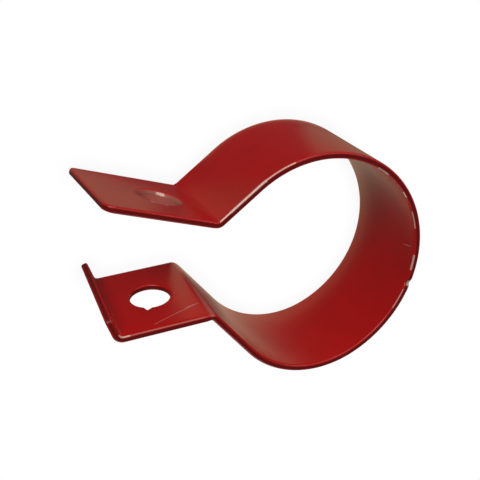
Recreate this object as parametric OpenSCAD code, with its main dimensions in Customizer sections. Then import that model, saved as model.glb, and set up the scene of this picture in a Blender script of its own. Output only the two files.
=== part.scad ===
// Exhaust clamp: one steel strap, rolled into an open ring and folded out into two bolting ears.
// It lies on the strap's edge, so the pipe runs along Z through the ring's centre at the origin.
// The ears reach towards -X: the longer one at +Y, and the one with the folded lip at -Y.

/* [Strap] */
// Width of the strap, along the pipe
strap_w = 25; // [20:0.5:40]
// Thickness of the strap
strap_t = 1.5; // [1:0.1:2.5]

/* [Ring] */
// Outside diameter of the pipe
pipe_d = 48; // [40:0.5:80]
// Play all round the pipe before the bolt is tightened
pipe_play = 0.4; // [0.1:0.05:0.6]
// Angle from the back of the ring to the place where each leg leaves it
wrap_angle = 140; // [125:1:144]
// Length of each straight leg, from the ring to the bend of its ear
leg_len = 6.5; // [4:0.5:9]

/* [Ears] */
// Inner radius of the bend between a leg and its ear
ear_bend_r = 2; // [1:0.25:3]
// Angle by which each ear opens away from the middle plane
ear_splay = 10; // [0:1:20]
// Flat length of the longer ear
long_ear_len = 24.5; // [18:0.5:35]
// Flat length of the shorter ear, up to the fold of its lip
short_ear_len = 16.5; // [15:0.5:30]
// Radius of the longer ear's corner at the strap's upper edge
upper_corner_r = 2.5; // [0.5:0.25:5]
// Radius of the longer ear's corner at the strap's lower edge
lower_corner_r = 0.75; // [0.5:0.25:5]

/* [Bolt holes] */
// Diameter of the bolt
bolt_d = 8; // [6:1:10]
// Clearance of the bolt in its holes, on the diameter
bolt_clearance = 1; // [0.4:0.1:1.2]
// Distance from the end of the ear's bend to the middle of the hole
bolt_from_bend = 8.25; // [6.5:0.25:9]

/* [Lip] */
// Inner radius of the fold
lip_fold_r = 1.5; // [0.75:0.25:3]
// Angle by which the lip is folded in from the ear
lip_angle = 72; // [30:1:90]
// Flat height of the lip above its fold
lip_h = 3.75; // [2:0.25:7]
// Radius of the lip's two corners
lip_corner_r = 1; // [0.5:0.25:1.75]

/* [Hidden] */
$fn = 96;
seat_r = pipe_d / 2 + pipe_play;
ring_r = seat_r + strap_t / 2;
hole_d = bolt_d + bolt_clearance;
bend_r = ear_bend_r + strap_t / 2;
fold_r = lip_fold_r + strap_t / 2;
leg_heading = wrap_angle + 90;
ear_heading = 180 - ear_splay;
// Turn per step round a bend
bend_step = 5;
// A leg lies this much inside the ring's tangent, so that line and arc cross at a clear angle
tangent_gap = 0.004;
// The ring runs on by this angle under the legs
ring_overlap = 3;
// A corner's rounding reaches this much past the edges that it joins, for the same reason
corner_gap = 0.02;

// Unit vector along a heading, and the one to its right, which is the outer side of the strap
function along(a) = [cos(a), sin(a)];
function right(a) = [sin(a), -cos(a)];

// Stations of the strap's middle line are pairs of a point and a heading
leg_start = [(ring_r - tangent_gap) * along(wrap_angle), leg_heading];
leg_end = [leg_start[0] + leg_len * along(leg_heading), leg_heading];

// Stations round a bend of radius r from one station to a new heading: a turn to the right if it
// is the smaller one, or to the left
function turn(from, to, r) =
    let(side = to < from[1] ? 1 : -1, n = ceil(abs(to - from[1]) / bend_step))
    [for (i = [1 : n])
        let(a = from[1] + (to - from[1]) * i / n)
        [from[0] + side * r * (right(from[1]) - right(a)), a]];

function ahead(from, length) = [from[0] + length * along(from[1]), from[1]];
function last(list) = list[len(list) - 1];

bend_stations = turn(leg_end, ear_heading, bend_r);
ear_start = last(bend_stations);
long_end = ahead(ear_start, long_ear_len);
short_end = ahead(ear_start, short_ear_len);
fold_stations = turn(short_end, ear_heading + lip_angle, fold_r);
lip_end = ahead(last(fold_stations), lip_h);

// The strap's outline along a list of stations, half its thickness to either side, on the +Y side
// or, with side = -1, mirrored to the -Y side
module ribbon(stations, side) {
    n = len(stations);
    order = side > 0 ? [0 : n - 1] : [n - 1 : -1 : 0];
    back = side > 0 ? [n - 1 : -1 : 0] : [0 : n - 1];
    outer = [for (i = order) stations[i][0] + strap_t / 2 * right(stations[i][1])];
    inner = [for (i = back) stations[i][0] - strap_t / 2 * right(stations[i][1])];
    polygon([for (p = concat(outer, inner)) [p[0], side * p[1]]]);
}

// Filled sector of a disc, up to the angle a on both sides of +X
module sector(r, a) {
    difference() {
        circle(r = r);
        polygon([[0, 0], 2 * r * along(a), 2 * r * along(180), 2 * r * along(-a)]);
    }
}

// What lies between the two legs, up to where the ears begin to bend away
module mouth() {
    inner = [for (s = [leg_start, leg_end]) s[0] - strap_t / 2 * right(s[1])];
    polygon([
        [0, 0],
        inner[0],
        inner[1],
        [inner[1][0], -inner[1][1]],
        [inner[0][0], -inner[0][1]]
    ]);
}

// Section of the whole strap, across the pipe
module profile() {
    difference() {
        union() {
            sector(ring_r + strap_t / 2, wrap_angle + ring_overlap);
            ribbon(concat([leg_start, leg_end], bend_stations, [long_end]), 1);
            ribbon(concat([leg_start, leg_end], bend_stations, [short_end], fold_stations, [lip_end]), -1);
        }
        circle(r = seat_r);
        mouth();
    }
}

// Puts its children at a station, with +X along the strap and Y through it
module at(station) {
    translate([station[0][0], station[0][1], 0])
        rotate(station[1])
            children();
}

// Bolt hole through an ear whose bend ends at the origin
module bolt_hole() {
    translate([bolt_from_bend, 0, strap_w / 2])
        rotate([90, 0, 0])
            cylinder(d = hole_d, h = 3 * strap_t, center = true);
}

// What rounding with radius r takes off the end of the strap, which is at the origin, on the lower
// edge or, with up = 1, on the upper one
module corner_waste(r, up) {
    translate([0, 0, up * strap_w])
        mirror([0, 0, up])
            difference() {
                translate([-r, -strap_t, -strap_t])
                    cube([r + strap_t, 2 * strap_t, r + strap_t]);
                translate([corner_gap - r, 0, r - corner_gap])
                    rotate([90, 0, 0])
                        cylinder(r = r, h = 3 * strap_t, center = true);
            }
}

// The strap, one piece of painted steel
module clamp_strap() {
    color([0.52, 0.07, 0.06])
        difference() {
            linear_extrude(strap_w)
                profile();
            at(ear_start)
                bolt_hole();
            at(long_end) {
                corner_waste(upper_corner_r, 1);
                corner_waste(lower_corner_r, 0);
            }
            mirror([0, 1, 0]) {
                at(ear_start)
                    bolt_hole();
                at(lip_end) {
                    corner_waste(lip_corner_r, 1);
                    corner_waste(lip_corner_r, 0);
                }
            }
        }
}

clamp_strap();
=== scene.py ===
"""Exhaust clamp of the red painted steel strap, dressed for a picture.

The strap is one sheet surface: a flat outline with rounded corners and two holes, carried along a path
of arcs and lines that is the strap's middle line, and thickened to both sides with rounded edges.
"""
import math

import bpy
import numpy as np
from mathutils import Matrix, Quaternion, Vector


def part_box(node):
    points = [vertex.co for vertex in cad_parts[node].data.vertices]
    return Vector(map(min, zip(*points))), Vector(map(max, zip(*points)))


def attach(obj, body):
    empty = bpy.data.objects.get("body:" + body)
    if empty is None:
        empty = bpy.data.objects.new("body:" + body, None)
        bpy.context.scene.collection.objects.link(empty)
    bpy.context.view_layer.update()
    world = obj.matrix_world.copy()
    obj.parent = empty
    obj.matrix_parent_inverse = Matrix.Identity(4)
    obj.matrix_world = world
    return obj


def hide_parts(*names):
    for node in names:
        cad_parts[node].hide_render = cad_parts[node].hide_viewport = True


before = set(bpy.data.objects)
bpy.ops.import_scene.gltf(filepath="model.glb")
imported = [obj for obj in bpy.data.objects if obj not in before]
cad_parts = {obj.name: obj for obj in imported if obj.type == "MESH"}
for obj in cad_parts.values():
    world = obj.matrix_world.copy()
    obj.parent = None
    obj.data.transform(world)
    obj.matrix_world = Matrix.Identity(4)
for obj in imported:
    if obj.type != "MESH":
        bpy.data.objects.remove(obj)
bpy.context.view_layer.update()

STRAP_LOW, STRAP_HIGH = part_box("clamp_strap")

bl_info = {
    "name": "Painted exhaust clamp",
    "version": (1, 0, 0),
    "blender": (4, 5, 0),
    "location": "3D View > Sidebar > Clamp",
    "description": "Builds the painted strap of an exhaust clamp and the stage that it lies on",
    "category": "Object",
}

MM = 0.001

# Where the strap's own middle lies from the pipe's axis, as the strap has sprung a little out of round
SPRUNG_BY = Vector((-1.071 * MM, -0.308 * MM))

# Columns and rows of the sheet's faces
RING_STEP = 0.45 * MM
BEND_STEPS = 14
FOLD_STEPS = 18
CORNER_STEPS = 8
EDGE_STEPS = 6
RIM_RINGS = 6
ROWS_BESIDE_HOLE = 8
ROWS_AT_HOLE = 20
# How far the square patch round a hole reaches past the hole, along and across the strap
PATCH_ALONG = 2.0 * MM
PATCH_ACROSS = 2.4 * MM
COLLAR_ROUNDING = 0.3 * MM

PLACE_NAME = "strap_place"
# How far out of the strap's middle its inner face and the rounded corners of both faces lie, in mm
INNER_FACE = -0.75
INNER_CORNER = -0.6
OUTER_CORNER = 0.6
# How far across from the strap's middle the corners of its upper edge lie, in mm
UPPER = -12.35
# Marks on the paint, many of them painted highlights and reflection: kind, start and end in mm along and
# across the strap, how far out of its middle they lie, half their width and the softness of their border, in
# mm
MARKS = (
    ("scratch", (-80.8, -10.7), (-75.6, -8.7), INNER_FACE, 0.03, 0.10),
    ("scratch", (-75.6, -8.7), (-70.1, -6.8), INNER_FACE, 0.05, 0.12),
    ("scratch", (-73.0, -7.6), (-71.0, -7.0), INNER_FACE, 0.12, 0.12),
    ("scratch", (2.9, -8.0), (3.6, -10.8), INNER_FACE, 0.05, 0.10),
    # Painted highlights along the outer corner of the ring's upper edge on the longer ear's side
    ("painted_highlight_and_wear", (69.2, UPPER), (66.5, UPPER), OUTER_CORNER, 0.12, 0.12),
    ("painted_highlight_and_wear", (66.5, UPPER), (57.0, UPPER), OUTER_CORNER, 0.22, 0.12),
    ("painted_highlight_and_wear", (57.0, UPPER), (50.2, UPPER), OUTER_CORNER, 0.08, 0.14),
    # Painted highlight at the upper corner of the longer ear's end
    ("painted_highlight_and_wear", (94.5, UPPER), (93.8, UPPER), OUTER_CORNER, 0.12, 0.15),
    # Painted highlights at the longer ear's hole: a spot on its far wall and a band on its near rim
    ("painted_highlight_and_wear", (77.9, 4.1), (76.9, 3.7), 0.3, 0.30, 0.25),
    ("painted_highlight_and_wear", (82.3, -4.6), (79.3, -5.5), 0.8, 0.18, 0.20),
    # Painted highlight along the shorter ear's upper corner by its lip
    ("painted_highlight_and_wear", (-89.6, UPPER), (-86.5, UPPER), INNER_CORNER, 0.10, 0.12),
    # Bright spots on the lip near its upper corner: partly chipped paint, partly painted highlight
    ("painted_highlight_and_wear", (-90.6, -8.2), (-90.2, -7.4), INNER_FACE, 0.16, 0.20),
    ("painted_highlight_and_wear", (-90.3, -9.4), (-89.8, -9.1), INNER_FACE, 0.12, 0.15),
    # A pale line with brighter spots along the upper inner corner of the ring's back: painted highlight, with
    # chipped and rubbed spots in it
    ("painted_highlight_and_wear", (29.4, UPPER), (26.2, UPPER), INNER_CORNER, 0.10, 0.20),
    ("painted_highlight_and_wear", (19.5, UPPER), (18.0, UPPER), INNER_CORNER, 0.10, 0.12),
    ("painted_highlight_and_wear", (13.5, UPPER), (9.1, UPPER), INNER_CORNER, 0.06, 0.14),
    ("painted_highlight_and_wear", (1.8, UPPER), (-1.7, UPPER), INNER_CORNER, 0.16, 0.14),
    ("painted_highlight_and_wear", (-7.0, UPPER), (-12.1, UPPER), INNER_CORNER, 0.04, 0.12),
    ("chip", (-5.6, -12.3), (-4.9, -12.3), 0.1, 0.30, 0.12),
    # Painted highlight that runs on faintly along the shorter ear's upper inner corner
    ("painted_sheen", (-86.5, UPPER), (-70.5, UPPER), INNER_CORNER, 0.06, 0.14),
    # Painted highlight line across the shorter ear's bend
    ("painted_sheen", (-68.6, 7.5), (-69.0, -12.4), INNER_FACE, 0.15, 0.50),
    # Painted brownish reflection and shade inside the longer ear's hole and on its collar
    ("painted_sheen", (79.3, -0.1), (79.1, -0.1), -1.2, 4.60, 1.40),
)
# How much of its own colour each kind of mark shows, in the order in which they lie on each other
MARK_SHARES = (("painted_sheen", 0.6), ("scratch", 0.6), ("painted_highlight_and_wear", 0.9), ("chip", 1.0))
# How far a mark's border wanders at most, in mm, and how metallic the chips and the bright corner marks are,
# which are mostly painted highlights and partly rubbed paint
MOST_RAGGED = 0.2
HIGHLIGHT_AND_CHIP_METAL = 0.15
# How far out of the strap's middle its edges, painted dark as shade, end and its faces begin, and where
# the outer face begins, in mm
PAINTED_EDGE_SHADE = (0.2, 0.55)
OUTER_START = (0.45, 0.7)
TONE_SCALE = 0.12
PEEL_SCALE = 0.9
RAGGED_SCALE = 2.5
CHIP_DEPTH = 0.05
SCRATCH_DEPTH = 0.02

# Soft lamps: azimuth and elevation in degrees, as seen from the clamp, and power in watts
LAMPS = (
    (90, 8, 0.3),
    (270, 8, 0.9),
    (45, 35, 0.48),
    (90, 35, 0.6),
    (135, 35, 1.6),
)
LAMP_DISTANCE = 0.7
LAMP_SIZE = 0.35
CLAMP_MIDDLE = Vector((-12 * MM, 0.0, 12.5 * MM))

# The photograph's view: the lens and the sensor's width in mm, and the camera's place and turn
CAMERA_LENS = 61.094
CAMERA_SENSOR = 36
CAMERA_PLACE = Vector((-88.308, 70.022, 162.771)) * MM
CAMERA_TURN = Quaternion((0.9563412, -0.2030110, -0.2087878, 0.0246095))

WHITE = (1.0, 1.0, 1.0, 1.0)
FLOOR_HALF = 3.0
FLOOR_DROP = 0.02 * MM


class StrapSizes(bpy.types.PropertyGroup):
    """Sizes of the bent strap."""

    width: bpy.props.FloatProperty(
        name="Width", description="Width of the strap, along the pipe",
        default=STRAP_HIGH[2] - STRAP_LOW[2], unit="LENGTH")
    thickness: bpy.props.FloatProperty(
        name="Thickness", description="Thickness of the steel", default=1.5 * MM, unit="LENGTH")
    edge_radius: bpy.props.FloatProperty(
        name="Edge radius", description="Rounding of the painted edges", default=0.5 * MM,
        unit="LENGTH")
    back_radius: bpy.props.FloatProperty(
        name="Back radius", description="Radius of the ring's back", default=25.936 * MM, unit="LENGTH")
    back_angle: bpy.props.FloatProperty(
        name="Back angle", description="Half the angle that the ring's back spans",
        default=math.radians(58), subtype="ANGLE")
    long_flank_radius: bpy.props.FloatProperty(
        name="Long side flank radius", description="Radius of the flank on the longer ear's side",
        default=24.350 * MM, unit="LENGTH")
    short_flank_radius: bpy.props.FloatProperty(
        name="Short side flank radius", description="Radius of the flank on the shorter ear's side",
        default=21.704 * MM, unit="LENGTH")
    long_wrap: bpy.props.FloatProperty(
        name="Long side wrap", description="Angle from the back to the longer ear's leg",
        default=math.radians(134.863), subtype="ANGLE")
    short_wrap: bpy.props.FloatProperty(
        name="Short side wrap", description="Angle from the back to the shorter ear's leg",
        default=math.radians(133.136), subtype="ANGLE")
    long_leg: bpy.props.FloatProperty(
        name="Long side leg", description="Straight leg before the longer ear's bend",
        default=10.364 * MM, unit="LENGTH")
    short_leg: bpy.props.FloatProperty(
        name="Short side leg", description="Straight leg before the shorter ear's bend",
        default=13.159 * MM, unit="LENGTH")
    long_bend_radius: bpy.props.FloatProperty(
        name="Long ear bend radius", description="Middle radius of the longer ear's bend",
        default=2.692 * MM, unit="LENGTH")
    short_bend_radius: bpy.props.FloatProperty(
        name="Short ear bend radius", description="Middle radius of the shorter ear's bend",
        default=2.282 * MM, unit="LENGTH")
    splay: bpy.props.FloatProperty(
        name="Splay", description="Angle by which each ear opens from the middle plane",
        default=math.radians(10.138), subtype="ANGLE")
    long_ear: bpy.props.FloatProperty(
        name="Longer ear", description="Flat length of the longer ear", default=23.03 * MM, unit="LENGTH")
    short_ear: bpy.props.FloatProperty(
        name="Shorter ear", description="Flat length of the shorter ear, up to its lip",
        default=17.567 * MM, unit="LENGTH")
    fold_radius: bpy.props.FloatProperty(
        name="Fold radius", description="Middle radius of the lip's fold", default=1.75 * MM, unit="LENGTH")
    fold_angle: bpy.props.FloatProperty(
        name="Fold angle", description="Angle by which the lip is folded in",
        default=math.radians(72.823), subtype="ANGLE")
    lip: bpy.props.FloatProperty(
        name="Lip", description="Flat height of the lip above its fold", default=4.086 * MM, unit="LENGTH")
    long_twist: bpy.props.FloatProperty(
        name="Longer ear twist", description="Twist of the longer ear about its length",
        default=math.radians(-2.656), subtype="ANGLE")
    short_twist: bpy.props.FloatProperty(
        name="Shorter ear twist", description="Twist of the shorter ear about its length",
        default=math.radians(2.418), subtype="ANGLE")
    long_skew: bpy.props.FloatProperty(
        name="Longer ear skew", description="How far the longer ear's end is cut out of square",
        default=0.058)
    short_skew: bpy.props.FloatProperty(
        name="Shorter ear skew", description="How far the shorter ear's end is cut out of square",
        default=-0.027)
    hole_radius: bpy.props.FloatProperty(
        name="Hole radius", description="Radius of the bolt holes", default=4.435 * MM, unit="LENGTH")
    long_hole_at: bpy.props.FloatProperty(
        name="Longer ear hole", description="Distance from the longer ear's bend to its hole",
        default=7.356 * MM, unit="LENGTH")
    short_hole_at: bpy.props.FloatProperty(
        name="Shorter ear hole", description="Distance from the shorter ear's bend to its hole",
        default=8.694 * MM, unit="LENGTH")
    long_hole_off: bpy.props.FloatProperty(
        name="Longer ear hole offset", description="How far that hole lies from the middle of the width",
        default=-0.087 * MM, unit="LENGTH")
    short_hole_off: bpy.props.FloatProperty(
        name="Shorter ear hole offset", description="How far that hole lies from the middle of the width",
        default=0.302 * MM, unit="LENGTH")
    near_corner: bpy.props.FloatProperty(
        name="Upper corner radius", description="Corner of the longer ear at the strap's upper edge",
        default=2.5 * MM, unit="LENGTH")
    far_corner: bpy.props.FloatProperty(
        name="Lower corner radius", description="Corner of the longer ear at the strap's lower edge",
        default=1.2 * MM, unit="LENGTH")
    lip_corner: bpy.props.FloatProperty(
        name="Lip upper corner radius", description="Corner of the lip at the strap's upper edge",
        default=1.0 * MM, unit="LENGTH")
    lip_far_corner: bpy.props.FloatProperty(
        name="Lip lower corner radius", description="Corner of the lip at the strap's lower edge",
        default=0.6 * MM, unit="LENGTH")
    draw_radius: bpy.props.FloatProperty(
        name="Draw radius", description="Rounding where the longer ear's hole is drawn in",
        default=1.1 * MM, unit="LENGTH")
    collar_wall: bpy.props.FloatProperty(
        name="Collar wall", description="Wall of the collar round the longer ear's hole",
        default=0.9 * MM, unit="LENGTH")
    collar_height: bpy.props.FloatProperty(
        name="Collar height", description="Height of that collar over the ear's inner face",
        default=1.2 * MM, unit="LENGTH")
    nick_depth: bpy.props.FloatProperty(
        name="Nick depth", description="Depth of the nick in the rim of the shorter ear's hole",
        default=0.9 * MM, unit="LENGTH")
    nick_width: bpy.props.FloatProperty(
        name="Nick width", description="Width of that nick at the hole's rim",
        default=1.7 * MM, unit="LENGTH")
    nick_angle: bpy.props.FloatProperty(
        name="Nick angle", description="Where the nick lies round the hole",
        default=math.radians(-111), subtype="ANGLE")
    dent_depth: bpy.props.FloatProperty(
        name="Dent depth", description="Depth of the dent in the ring's upper edge",
        default=0.6 * MM, unit="LENGTH")
    dent_width: bpy.props.FloatProperty(
        name="Dent width", description="Width of that dent", default=1.8 * MM, unit="LENGTH")
    dent_at: bpy.props.FloatProperty(
        name="Dent place",
        description="Distance of that dent from the ring's back, on the shorter ear's side",
        default=5.2 * MM, unit="LENGTH")


class PaintLook(bpy.types.PropertyGroup):
    """Colours and gloss of the paint, with the painted shade of its edges and the painted highlights of its
    marks.
    """

    red: bpy.props.FloatVectorProperty(
        name="Red", description="Colour of the paint", subtype="COLOR", size=3,
        min=0, max=1, default=(0.65, 0.006, 0.005))
    # Painted shade: the strap's edges and the walls of its holes are painted this dark red
    edge: bpy.props.FloatVectorProperty(
        name="Edge", description="Colour of the paint on the strap's edges", subtype="COLOR", size=3,
        min=0, max=1, default=(0.2275, 0.0021, 0.00175))
    # Painted highlights and reflection: colour of the pale lines on the shorter ear and of the brownish patch
    # in the longer ear's hole
    painted_sheen: bpy.props.FloatVectorProperty(
        name="Dull", description="Colour of the paint's dull patches", subtype="COLOR", size=3,
        min=0, max=1, default=(0.62, 0.24, 0.18))
    scratch: bpy.props.FloatVectorProperty(
        name="Scratch", description="Colour of the fine scratches", subtype="COLOR", size=3,
        min=0, max=1, default=(0.75, 0.38, 0.32))
    # Mostly painted highlights and partly real rubbed wear: colour of the bright corner marks
    painted_highlight_and_wear: bpy.props.FloatVectorProperty(
        name="Worn", description="Colour of the corners that are rubbed bright", subtype="COLOR", size=3,
        min=0, max=1, default=(0.98, 0.62, 0.52))
    chip: bpy.props.FloatVectorProperty(
        name="Chip", description="Colour of the steel where the paint is chipped off", subtype="COLOR",
        size=3, min=0, max=1, default=(0.85, 0.72, 0.70))
    roughness: bpy.props.FloatProperty(
        name="Roughness", description="Roughness of the paint's surface", default=0.32, min=0, max=1)
    specular: bpy.props.FloatProperty(
        name="Specular", description="How strongly the paint mirrors", default=0.5, min=0, max=1)
    peel: bpy.props.FloatProperty(
        name="Orange peel", description="Height of the waves in the paint", default=0.006 * MM, unit="LENGTH")


class StageLook(bpy.types.PropertyGroup):
    """Light of the pale room round the clamp."""

    room: bpy.props.FloatProperty(
        name="Room light", description="Light of the room above the floor on the paint's own colour",
        default=0.0811, min=0)
    room_gloss: bpy.props.FloatProperty(
        name="Room in gloss", description="How bright the paint mirrors that room", default=0.12, min=0)
    floor: bpy.props.FloatProperty(
        name="Floor light", description="Light of the floor on the paint's own colour",
        default=0.0749, min=0)
    floor_gloss: bpy.props.FloatProperty(
        name="Floor in gloss", description="How bright the paint mirrors the floor",
        default=0.1, min=0)
    inside: bpy.props.FloatVectorProperty(
        name="Floor inside", description="The floor along the ring's inner wall, as the paint mirrors it",
        subtype="COLOR", size=3, min=0, default=(0.9, 0.75, 0.5))
    beside: bpy.props.FloatVectorProperty(
        name="Floor beside",
        description="The floor outside the longer ear and the ring, as the paint mirrors it",
        subtype="COLOR", size=3, min=0, default=(0.24, 0.35, 0.24))
    shadow: bpy.props.FloatProperty(
        name="Shadow", description="How much the clamp's shadow darkens the floor",
        default=0.12, min=0, max=1)
    shadow_reach: bpy.props.FloatProperty(
        name="Shadow reach", description="How far that shadow reaches", default=4 * MM, unit="LENGTH")


def walk(start, heading, legs, distance):
    """Points and headings on a path of arcs and lines, at an array of distances along it.

    Each leg is a length and a curvature k. Along it the heading is h = h0 + k d, and the point is
    p0 + (sin h - sin h0, cos h0 - cos h) / k on an arc and p0 + d (cos h0, sin h0) on a line.
    """
    point = np.zeros((len(distance), 2))
    turned = np.zeros(len(distance))
    at, here, h0 = 0.0, np.array(start, float), heading
    for number, (length, k) in enumerate(legs):
        last = number == len(legs) - 1
        on = (distance >= at) & ((distance <= at + length) | last)
        for d, where in ((distance[on] - at, on), (np.array([length]), None)):
            h = h0 + k * d
            if abs(k) > 1e-9:
                p = here + np.c_[np.sin(h) - math.sin(h0), math.cos(h0) - np.cos(h)] / k
            else:
                p = here + np.c_[d * math.cos(h0), d * math.sin(h0)]
            if where is not None:
                point[where], turned[where] = p, h
        at, here, h0 = at + length, p[0], h[0]
    return point, turned


class Side:
    """One half of the strap, from the ring's back to the end of its ear, as lengths along its middle line."""

    def __init__(self, s, sign):
        long = sign > 0
        flank = s.long_flank_radius if long else s.short_flank_radius
        wrap = s.long_wrap if long else s.short_wrap
        leg = s.long_leg if long else s.short_leg
        bend = s.long_bend_radius if long else s.short_bend_radius
        self.sign = sign
        self.start = (s.back_radius, 0.0)
        self.ear = s.long_ear if long else s.short_ear
        self.twist = math.tan(s.long_twist if long else s.short_twist)
        self.skew = s.long_skew if long else s.short_skew
        self.hole_at = s.long_hole_at if long else s.short_hole_at
        self.hole_off = s.long_hole_off if long else s.short_hole_off
        turn = math.pi / 2 + wrap - (math.pi - s.splay)
        self.legs = [(s.back_radius * s.back_angle, 1 / s.back_radius),
                     (flank * (wrap - s.back_angle), 1 / flank),
                     (leg, 0.0), (bend * turn, -1 / bend), (self.ear, 0.0)]
        if not long:
            self.legs += [(s.fold_radius * s.fold_angle, 1 / s.fold_radius), (s.lip, 0.0)]
        self.marks = np.concatenate([[0.0], np.cumsum([length for length, _ in self.legs])])
        self.length = self.marks[-1]
        self.heading = math.pi - s.splay

    def place(self, d, across, out):
        """Points in the row's frame for distances along, across and out of the strap's middle.

        The path's point plus out times its normal, which is the heading turned to the right. The
        twist shifts a point by tan(twist) times across, from the bend's start to its end. The skew
        shifts it along the ear by skew times across, from the bend's end to the ear's end.
        """
        p, h = walk(self.start, math.pi / 2, self.legs, d)
        p = p + out[:, None] * np.c_[np.sin(h), -np.cos(h)]
        p[:, 1] *= self.sign
        bent = np.clip((d - self.marks[3]) / (self.marks[4] - self.marks[3]), 0, 1)
        bent = bent * bent * (3 - 2 * bent)
        p[:, 1] += self.twist * across * bent
        along = np.clip((d - self.marks[4]) / self.ear, 0, 1)
        shift = self.skew * across * along
        p[:, 0] += shift * math.cos(self.heading)
        p[:, 1] += shift * self.sign * math.sin(self.heading)
        return p


def spaced(stops, steps):
    """Numbers that run through the stops with the given count of equal steps between each two."""
    parts = [np.linspace(a, b, n + 1)[:-1] for a, b, n in zip(stops[:-1], stops[1:], steps)]
    return np.concatenate(parts + [[stops[-1]]])


def half_columns(side, s, patch):
    """Distances of the sheet's columns on one side, up to where its end corner begins, and the columns of its
    hole patch.
    """
    marks = side.marks
    hole = marks[4] + side.hole_at
    stops = list(marks[:4]) + [marks[4], hole - patch, hole + patch]
    if side.sign > 0:
        stops += [side.length - s.near_corner * 1.25]
    else:
        stops += [marks[5], marks[6], side.length - s.lip_corner * 1.25]
    steps = []
    for a, b in zip(stops[:-1], stops[1:]):
        if a >= marks[3] - 1e-9 and b <= marks[4] + 1e-9:
            steps.append(BEND_STEPS)
        elif len(marks) > 6 and a >= marks[5] - 1e-9 and b <= marks[6] + 1e-9:
            steps.append(FOLD_STEPS)
        else:
            steps.append(max(2, int(round((b - a) / RING_STEP))))
    d = spaced(stops, steps)
    first = sum(steps[:5])
    return d, (first, first + steps[5])


def band_profile(radius, thickness):
    """Inset from the outline and height over the middle, from one face round the edge to the other.

    A quarter circle of the edge radius at each face and a straight wall between them.
    """
    a = np.linspace(0, np.pi / 2, EDGE_STEPS + 1)
    inset = radius * (1 - np.sin(a))
    high = thickness / 2 - radius * (1 - np.cos(a))
    return np.concatenate([inset, inset[::-1]]), np.concatenate([high, -high[::-1]])


def arc_points(centre, radius, start, stop, count=EDGE_STEPS):
    """Points (radius, height) round a centre from one angle to another, in degrees."""
    a = np.radians(np.linspace(start, stop, count + 1))
    return np.c_[centre[0] + radius * np.cos(a), centre[1] + radius * np.sin(a)]


def hole_profile(s, drawn):
    """Radii and heights round a bolt hole's rim, from the outer face through the hole to the inner face.

    A plain hole has a rounded edge at each face. A drawn one has a large rounding at the outer face,
    and a collar with rounded edges and a fillet at the inner one.
    """
    r, half, edge = s.hole_radius, s.thickness / 2, s.edge_radius
    if not drawn:
        return np.r_[arc_points((r + edge, half - edge), edge, 90, 180),
                     arc_points((r + edge, edge - half), edge, 180, 270)]
    draw, low, lip = s.draw_radius, -half - s.collar_height, COLLAR_ROUNDING
    out = r + s.collar_wall
    return np.r_[arc_points((r + draw, half - draw), draw, 90, 180, 2 * EDGE_STEPS),
                 arc_points((r + lip, low + lip), lip, 180, 270),
                 arc_points((out - lip, low + lip), lip, -90, 0),
                 arc_points((out + lip, -half - lip), lip, 180, 90)]


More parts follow.
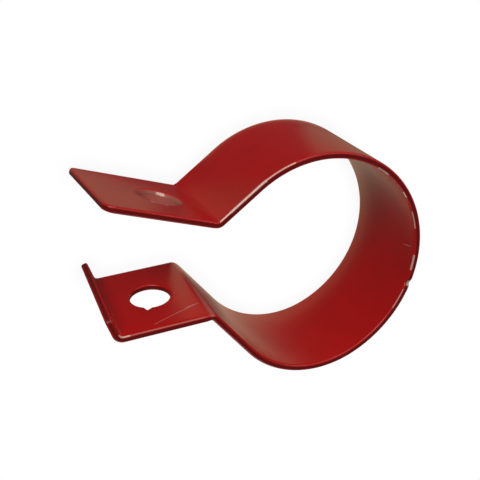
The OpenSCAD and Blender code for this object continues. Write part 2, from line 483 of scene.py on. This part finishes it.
def strap_sheet(s):
    """Vertices, in distance along, across and out, and faces of the whole strap.

    Its two faces are grids between the insets of the outline, with a square patch round each hole
    that runs in rings from the hole's circle to the patch's border. Edge bands close them.
    """
    radius, half = s.edge_radius, s.width / 2
    patch, patch_half = s.hole_radius + PATCH_ALONG, s.hole_radius + PATCH_ACROSS
    long, short = Side(s, 1), Side(s, -1)
    cols = {side.sign: half_columns(side, s, patch) for side in (long, short)}
    phi = np.linspace(0, np.pi / 2, CORNER_STEPS + 1)

    def ended(side, near, far):
        """Outline points and outward directions at both edges, with the rounded corners at the end."""
        d = cols[side.sign][0]
        t = np.c_[d, np.full(len(d), -half), np.zeros(len(d)), np.full(len(d), -1.0)]
        b = np.c_[d, np.full(len(d), half), np.zeros(len(d)), np.full(len(d), 1.0)]
        out = []
        for rows, r, sgn in ((t, near, -1.0), (b, far, 1.0)):
            corner = np.c_[side.length - r + r * np.sin(phi), sgn * (half - r + r * np.cos(phi)),
                           np.sin(phi), sgn * np.cos(phi)]
            out.append(np.r_[rows, corner])
        return out

    near_l, far_l = ended(long, s.near_corner, s.far_corner)
    near_s, far_s = ended(short, s.lip_corner, s.lip_far_corner)
    flip = np.array([-1, 1, -1, 1])
    near = np.r_[(near_s * flip)[::-1], near_l[1:]]
    far = np.r_[(far_s * flip)[::-1], far_l[1:]]
    near[:, 1] += s.dent_depth * np.clip(1 - np.abs(near[:, 0] + s.dent_at) / (s.dent_width / 2), 0, 1)
    zero = len(near_s) - 1
    share = patch_half / (2 * (half - radius))
    b = spaced([0.0, 0.5 - share, 0.5 + share, 1.0], [ROWS_BESIDE_HOLE, ROWS_AT_HOLE, ROWS_BESIDE_HOLE])
    r1, r2 = ROWS_BESIDE_HOLE, ROWS_BESIDE_HOLE + ROWS_AT_HOLE
    n_along, n_across = len(near), len(b)

    def inset_point(q, e):
        """Outline points moved in by e against their outward directions."""
        return q[:, :2] - e * q[:, 2:]

    n0, f0 = inset_point(near, radius), inset_point(far, radius)
    grid = n0[:, None, :] * (1 - b)[None, :, None] + f0[:, None, :] * b[None, :, None]
    coords, faces = [], []
    count = 0

    def kept(points):
        """Keeps points (..., 3) as vertices, and gives their numbers in the same layout."""
        nonlocal count
        coords.append(points.reshape(-1, 3))
        index = np.arange(count, count + len(coords[-1]))
        count += len(index)
        return index.reshape(points.shape[:-1])

    def quads(index, closed=False, flip_faces=False, keep=None):
        """Faces between the neighbours of a grid of vertex numbers."""
        a = index if not closed else np.concatenate([index, index[:1]])
        f = np.stack([a[:-1, :-1], a[1:, :-1], a[1:, 1:], a[:-1, 1:]], -1)
        f = f[keep] if keep is not None else f.reshape(-1, 4)
        faces.append(f[:, ::-1] if flip_faces else f)

    holes = []
    for side in (long, short):
        k1, k2 = cols[side.sign][1]
        c = side.sign * (side.marks[4] + side.hole_at)
        lo, hi = sorted((zero + side.sign * k1, zero + side.sign * k2))
        holes.append((lo, hi, c, side.hole_off))
    inset, high = band_profile(radius, s.thickness)
    ring_index = {}
    for face in (1, -1):
        level = np.full(grid.shape[:2] + (1,), face * s.thickness / 2)
        index = kept(np.concatenate([grid, level], -1))
        keep = np.ones((n_along - 1, n_across - 1), bool)
        for lo, hi, c, off in holes:
            keep[lo:hi, r1:r2] = False
        quads(index, keep=keep, flip_faces=face < 0)
        border = np.concatenate([index[:-1, 0], index[-1, :-1], index[:0:-1, -1], index[0, :0:-1]])
        ring_index[face] = [border]
        for lo, hi, c, off in holes:
            loop = np.concatenate([index[lo:hi, r1], index[hi, r1:r2],
                                   index[hi:lo:-1, r2], index[lo, r2:r1:-1]])
            flat = grid.reshape(-1, 2)[loop - index[0, 0]]
            start = np.unwrap(np.arctan2(flat[:, 1] - off, flat[:, 0] - c))
            blend = 0.5 * (start + start[0] + np.linspace(0, 2 * np.pi, len(loop), endpoint=False))
            nick = np.zeros(len(loop))
            if c < 0:
                away = (blend - s.nick_angle + np.pi) % (2 * np.pi) - np.pi
                blend = blend - away[np.argmin(np.abs(away))]
                away = (blend - s.nick_angle + np.pi) % (2 * np.pi) - np.pi
                reach = s.nick_width / 2 / s.hole_radius
                nick = s.nick_depth * np.clip(1 - np.abs(away) / reach, 0, 1)
            profile = hole_profile(s, c > 0)
            r = profile[0 if face > 0 else -1, 0] + nick
            rings = [loop]
            for u in np.linspace(0, 1, RIM_RINGS + 1)[1:]:
                a = start * (1 - u) + blend * u
                circle = np.c_[c + r * np.cos(a), off + r * np.sin(a)]
                p = flat * (1 - u) + circle * u
                rings.append(kept(np.c_[p, np.full(len(p), face * s.thickness / 2)]))
            quads(np.array(rings).T, closed=True, flip_faces=face < 0)
            ring_index[face].append((rings[-1], blend, nick, profile))
    def end_rows(start, stop):
        """Outline points and outward directions straight across an end of the strap."""
        return np.c_[np.full(n_across, start[0]), start[1] + (stop[1] - start[1]) * b,
                     np.full(n_across, start[2]), np.zeros(n_across)]

    outline = np.concatenate([near[:-1], end_rows(near[-1], far[-1])[:-1],
                              far[:0:-1], end_rows(near[0], far[0])[:0:-1]])
    rows = [ring_index[1][0]]
    for e, h in zip(inset[1:-1], high[1:-1]):
        p = outline[:, :2] - e * outline[:, 2:]
        rows.append(kept(np.c_[p, np.full(len(p), h)]))
    rows.append(ring_index[-1][0])
    quads(np.array(rows).T, closed=True, flip_faces=True)
    for number, (lo, hi, c, off) in enumerate(holes, 1):
        upper, angle, nick, profile = ring_index[1][number]
        rows = [upper]
        for r, h in profile[1:-1]:
            rows.append(kept(np.c_[c + (r + nick) * np.cos(angle), off + (r + nick) * np.sin(angle),
                                   np.full(len(angle), h)]))
        rows.append(ring_index[-1][number][0])
        quads(np.array(rows).T, closed=True)
    # (along, across, out) is left-handed, so the faces turn round to look outwards
    used, corners = np.unique(np.concatenate(faces)[:, ::-1], return_inverse=True)
    return np.concatenate(coords)[used], corners.reshape(-1, 4), long, short


def in_row(points, long, short, s):
    """The strap's own coordinates (along, across, out) carried to the row's frame."""
    d, across, out = points.T
    placed = np.zeros((len(points), 2))
    for side, where in ((long, d >= 0), (short, d < 0)):
        placed[where] = side.place(np.abs(d[where]), across[where], out[where])
    return np.c_[placed[:, 0] + SPRUNG_BY.x, placed[:, 1] + SPRUNG_BY.y, s.width / 2 - across]


def mesh_piece(name, vertices, faces, smooth=True):
    """A mesh object at the origin from arrays of vertices and quads."""
    mesh = bpy.data.meshes.new(name)
    mesh.vertices.add(len(vertices))
    mesh.vertices.foreach_set("co", vertices.astype(np.float32).ravel())
    mesh.loops.add(faces.size)
    mesh.loops.foreach_set("vertex_index", faces.astype(np.int32).ravel())
    mesh.polygons.add(len(faces))
    mesh.polygons.foreach_set("loop_start", np.arange(0, faces.size, faces.shape[1], dtype=np.int32))
    mesh.polygons.foreach_set("use_smooth", np.full(len(faces), smooth))
    mesh.update(calc_edges=True)
    mesh.validate()
    piece = bpy.data.objects.new(name, mesh)
    bpy.context.scene.collection.objects.link(piece)
    return piece


def add(tree, kind, inputs=(), **properties):
    """A shader node; each input has its number or name, with a value or the socket that feeds it."""
    made = tree.nodes.new(kind)
    for key, value in properties.items():
        setattr(made, key, value)
    for key, value in dict(inputs).items():
        if isinstance(value, bpy.types.NodeSocket):
            tree.links.new(value, made.inputs[key])
        else:
            made.inputs[key].default_value = value
    return made


def compute(tree, operation, *values):
    """The output of a Math node on values or sockets."""
    return add(tree, "ShaderNodeMath", dict(enumerate(values)), operation=operation).outputs[0]


def vector(tree, operation, *values, output=0):
    """An output of a Vector Math node on vectors or sockets."""
    return add(tree, "ShaderNodeVectorMath", dict(enumerate(values)), operation=operation).outputs[output]


def mix(tree, factor, first, second):
    """The colour output of a Mix node."""
    return add(tree, "ShaderNodeMix", {0: factor, 6: first, 7: second}, data_type="RGBA").outputs[2]


def noise(tree, place, scale, detail):
    """The height of a noise pattern at a place."""
    return add(tree, "ShaderNodeTexNoise", {"Vector": place, "Scale": scale, "Detail": detail}).outputs[0]


def shader_group(name, inputs, outputs):
    """A shader node group with its sockets, and its input and output nodes."""
    tree = bpy.data.node_groups.new(name, "ShaderNodeTree")
    for label, kind in inputs:
        tree.interface.new_socket(label, in_out="INPUT", socket_type=kind)
    for label, kind in outputs:
        tree.interface.new_socket(label, in_out="OUTPUT", socket_type=kind)
    return tree, tree.nodes.new("NodeGroupInput"), tree.nodes.new("NodeGroupOutput")


def mark_group():
    """Mask of one mark: 1 within half a width of the segment from Start to End, with a ragged border.

    A place p is |p - a - t (b - a)| away from the segment a..b, with
    t = (p - a).(b - a) / |b - a|^2 kept between 0 and 1.
    """
    tree, given, made = shader_group(
        "paint_mark",
        [("Place", "NodeSocketVector"), ("Start", "NodeSocketVector"), ("End", "NodeSocketVector"),
         ("Half Width", "NodeSocketFloat"), ("Softness", "NodeSocketFloat"), ("Ragged", "NodeSocketFloat")],
        [("Mask", "NodeSocketFloat")])
    place, start, end, width, soft, ragged = [given.outputs[number] for number in range(6)]
    here = vector(tree, "SUBTRACT", place, start)
    span = vector(tree, "SUBTRACT", end, start)
    along = vector(tree, "DOT_PRODUCT", here, span, output="Value")
    whole = vector(tree, "DOT_PRODUCT", span, span, output="Value")
    share = add(tree, "ShaderNodeMath", {0: along, 1: whole}, operation="DIVIDE", use_clamp=True).outputs[0]
    foot = add(tree, "ShaderNodeVectorMath", {0: span, "Scale": share}, operation="SCALE").outputs[0]
    away = vector(tree, "LENGTH", vector(tree, "SUBTRACT", here, foot), output="Value")
    wander = compute(tree, "MINIMUM", width, MOST_RAGGED)
    away = compute(tree, "MULTIPLY_ADD", ragged, wander, away)
    border = compute(tree, "ADD", width, soft)
    mask = add(tree, "ShaderNodeMapRange", {0: away, 1: width, 2: border, 3: 1.0, 4: 0.0})
    tree.links.new(mask.outputs[0], made.inputs["Mask"])
    return tree


def face_mask(tree, out):
    """1 on the strap's two faces and 0 on its edges and in its holes, where the shade is painted, from how
    far out a place lies.
    """
    return ramp(tree, compute(tree, "ABSOLUTE", out), *PAINTED_EDGE_SHADE)


def inner_mask(tree, out):
    """1 on the inner face and in the holes, and 0 on the outer face, from how far out a place lies."""
    return compute(tree, "SUBTRACT", 1.0, ramp(tree, out, *OUTER_START))


def paint_material(look):
    """Glossy red paint: uneven in tone, with painted shade on the edges and hole walls, orange peel and the
    marks of MARKS.

    A mark is a line or patch of painted highlight or reflection, a fine scratch, a corner painted bright as a
    highlight and partly rubbed, or a chip down to the steel.
    """
    material = bpy.data.materials.new("glossy_red_paint")
    material.use_nodes = True
    tree = material.node_tree
    shader = tree.nodes["Principled BSDF"]
    place = add(tree, "ShaderNodeAttribute", attribute_name=PLACE_NAME).outputs["Vector"]
    ragged = compute(tree, "SUBTRACT", noise(tree, place, RAGGED_SCALE, 3.0), 0.5)
    group, masks = mark_group(), {}
    for kind, start, end, out, width, soft in MARKS:
        mask = add(tree, "ShaderNodeGroup", {
            "Place": place, "Start": (*start, out), "End": (*end, out), "Half Width": width,
            "Softness": soft, "Ragged": ragged}, node_tree=group).outputs[0]
        masks[kind] = compute(tree, "MAXIMUM", masks[kind], mask) if kind in masks else mask
    out = add(tree, "ShaderNodeSeparateXYZ", {0: place}).outputs["Z"]
    # The painted highlight lines and reflection keep to the inner face and the holes
    masks["painted_sheen"] = compute(tree, "MULTIPLY", masks["painted_sheen"], inner_mask(tree, out))
    tone = noise(tree, place, TONE_SCALE, 3.0)
    darker, lighter = [(*(share * part for part in look.red), 1) for share in (0.85, 1.15)]
    # Painted shade: the edges and hole walls take the dark edge colour instead of the red
    colour = mix(tree, face_mask(tree, out), (*look.edge, 1), mix(tree, tone, darker, lighter))
    for kind, share in MARK_SHARES:
        colour = mix(tree, compute(tree, "MULTIPLY", masks[kind], share), colour, (*getattr(look, kind), 1))
    tree.links.new(colour, shader.inputs["Base Color"])
    roughness = compute(tree, "MULTIPLY_ADD", masks["painted_sheen"], 0.1, look.roughness)
    tree.links.new(roughness, shader.inputs["Roughness"])
    # The painted highlights and rubbed places, and the chips, are made a little metallic
    bright_or_bare = compute(tree, "MAXIMUM", masks["painted_highlight_and_wear"], masks["chip"])
    tree.links.new(compute(tree, "MULTIPLY", bright_or_bare, HIGHLIGHT_AND_CHIP_METAL), shader.inputs["Metallic"])
    height = compute(tree, "MULTIPLY", noise(tree, place, PEEL_SCALE, 1.0), look.peel / MM)
    height = compute(tree, "MULTIPLY_ADD", masks["chip"], -CHIP_DEPTH, height)
    height = compute(tree, "MULTIPLY_ADD", masks["scratch"], -SCRATCH_DEPTH, height)
    bump = add(tree, "ShaderNodeBump", {"Height": height, "Distance": MM, "Strength": 1.0})
    tree.links.new(bump.outputs[0], shader.inputs["Normal"])
    shader.inputs["IOR"].default_value = 1.5
    shader.inputs["Specular IOR Level"].default_value = look.specular
    return material


def grey(level):
    """A grey of a level."""
    return (level, level, level, 1.0)


def room_colour(tree, seen, mirrored, soft):
    """What a ray finds: seen by the camera and through glass, mirrored in gloss, and soft by the rest."""
    rays = add(tree, "ShaderNodeLightPath").outputs
    direct = compute(tree, "MAXIMUM", rays["Is Camera Ray"], rays["Is Transmission Ray"])
    return mix(tree, direct, mix(tree, rays["Is Glossy Ray"], soft, mirrored), seen)


def ramp(tree, value, low, high):
    """0 below low and 1 above high, with a smooth step between."""
    return add(tree, "ShaderNodeMapRange", {0: value, 1: low, 2: high, 3: 0.0, 4: 1.0},
               interpolation_type="SMOOTHSTEP").outputs[0]


def side_mask(tree):
    """1 on the floor beside the longer ear and the ring's back, on the +Y side, and 0 elsewhere."""
    place = add(tree, "ShaderNodeTexCoord").outputs["Object"]
    along, across, _ = add(tree, "ShaderNodeSeparateXYZ", {0: place}).outputs
    away = vector(tree, "LENGTH", place, output="Value")
    leg = compute(tree, "ABSOLUTE", compute(tree, "ADD", along, 12 * MM))
    past_ring = ramp(tree, away, 26 * MM, 29 * MM)
    past_middle = ramp(tree, across, 12 * MM, 16 * MM)
    past_leg = ramp(tree, leg, 12 * MM, 20 * MM)
    return compute(tree, "MULTIPLY", compute(tree, "MULTIPLY", past_ring, past_middle), past_leg)


def inside_mask(tree):
    """1 on the floor along the ring's inner wall, and 0 towards the pipe's axis and past the ring."""
    place = add(tree, "ShaderNodeTexCoord").outputs["Object"]
    away = vector(tree, "LENGTH", place, output="Value")
    past_ring = ramp(tree, away, 26 * MM, 27 * MM)
    return compute(tree, "SUBTRACT", ramp(tree, away, 19.5 * MM, 24 * MM), past_ring)


def floor_material(look):
    """The pale floor: white to the camera but for the clamp's soft shadow, and dimmer in gloss."""
    material = bpy.data.materials.new("pale_floor")
    material.use_nodes = True
    material.cycles.emission_sampling = "NONE"
    tree = material.node_tree
    tree.nodes.clear()
    free = add(tree, "ShaderNodeAmbientOcclusion", {"Distance": look.shadow_reach}, samples=8).outputs["AO"]
    seen = mix(tree, free, grey(1 - look.shadow), WHITE)
    mirrored = mix(tree, side_mask(tree), grey(look.floor_gloss), (*look.beside, 1))
    mirrored = mix(tree, inside_mask(tree), mirrored, (*look.inside, 1))
    glow = add(tree, "ShaderNodeEmission", {"Color": room_colour(tree, seen, mirrored, grey(look.floor))})
    output = add(tree, "ShaderNodeOutputMaterial")
    tree.links.new(glow.outputs[0], output.inputs["Surface"])
    return material


def softbox(name, azimuth, elevation, power):
    """A round soft lamp that looks at the clamp from a direction given in degrees."""
    a, e = math.radians(azimuth), math.radians(elevation)
    away = Vector((math.cos(e) * math.cos(a), math.cos(e) * math.sin(a), math.sin(e)))
    data = bpy.data.lights.new(name, "AREA")
    data.shape = "DISK"
    data.size = LAMP_SIZE
    data.energy = power
    lamp = bpy.data.objects.new(name, data)
    lamp.location = CLAMP_MIDDLE + away * LAMP_DISTANCE
    lamp.rotation_mode = "QUATERNION"
    lamp.rotation_quaternion = away.to_track_quat("Z", "Y")
    bpy.context.scene.collection.objects.link(lamp)
    return lamp


class OBJECT_OT_clamp_strap(bpy.types.Operator):
    """Builds the painted strap in the place of the plain one"""

    bl_idname = "clamp.strap"
    bl_label = "Strap"

    def execute(self, context):
        s = context.scene.strap_sizes
        points, faces, long, short = strap_sheet(s)
        piece = mesh_piece("painted_strap", in_row(points, long, short, s), faces)
        place = piece.data.attributes.new(PLACE_NAME, "FLOAT_VECTOR", "POINT")
        place.data.foreach_set("vector", (points / MM).astype(np.float32).ravel())
        piece.modifiers.new("even_normals", "WEIGHTED_NORMAL")
        piece.data.materials.append(paint_material(context.scene.paint_look))
        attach(piece, "root")
        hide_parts("clamp_strap")
        return {"FINISHED"}


class OBJECT_OT_clamp_stage(bpy.types.Operator):
    """Builds the pale floor and room, the lamps and the camera"""

    bl_idname = "clamp.stage"
    bl_label = "Stage"

    def execute(self, context):
        scene = context.scene
        look = scene.stage_look
        scene.view_settings.view_transform = "Standard"
        world = bpy.data.worlds.new("pale_room")
        scene.world = world
        world.use_nodes = True
        world.cycles.sampling_method = "NONE"
        tree = world.node_tree
        found = room_colour(tree, WHITE, grey(look.room_gloss), grey(look.room))
        tree.links.new(found, tree.nodes["Background"].inputs["Color"])

        corners = [(-1, -1), (1, -1), (1, 1), (-1, 1)]
        flat = np.array([(x * FLOOR_HALF, y * FLOOR_HALF, -FLOOR_DROP) for x, y in corners])
        floor = mesh_piece("floor", flat, np.array([[0, 1, 2, 3]]))
        floor.data.materials.append(floor_material(look))
        for number, (azimuth, elevation, power) in enumerate(LAMPS, 1):
            softbox(f"softbox_{number}", azimuth, elevation, power)

        camera_data = bpy.data.cameras.new("camera")
        camera_data.lens = CAMERA_LENS
        camera_data.sensor_width = CAMERA_SENSOR
        camera_data.clip_start = 0.01
        camera_data.clip_end = 10
        camera = bpy.data.objects.new("camera", camera_data)
        camera.location = CAMERA_PLACE
        camera.rotation_mode = "QUATERNION"
        camera.rotation_quaternion = CAMERA_TURN
        scene.collection.objects.link(camera)
        scene.camera = camera
        return {"FINISHED"}


class VIEW3D_PT_clamp(bpy.types.Panel):
    """Shows the buttons that build the strap and the stage"""

    bl_label = "Clamp"
    bl_space_type = "VIEW_3D"
    bl_region_type = "UI"
    bl_category = "Clamp"

    def draw(self, context):
        layout = self.layout
        layout.operator(OBJECT_OT_clamp_strap.bl_idname)
        layout.operator(OBJECT_OT_clamp_stage.bl_idname)


CLASSES = (StrapSizes, PaintLook, StageLook, OBJECT_OT_clamp_strap, OBJECT_OT_clamp_stage, VIEW3D_PT_clamp)


def register():
    for made in CLASSES:
        bpy.utils.register_class(made)
    bpy.types.Scene.strap_sizes = bpy.props.PointerProperty(type=StrapSizes)
    bpy.types.Scene.paint_look = bpy.props.PointerProperty(type=PaintLook)
    bpy.types.Scene.stage_look = bpy.props.PointerProperty(type=StageLook)


def unregister():
    del bpy.types.Scene.stage_look
    del bpy.types.Scene.paint_look
    del bpy.types.Scene.strap_sizes
    for made in reversed(CLASSES):
        bpy.utils.unregister_class(made)


def main():
    register()
    bpy.ops.clamp.strap()
    bpy.ops.clamp.stage()


if __name__ == "__main__":
    main()
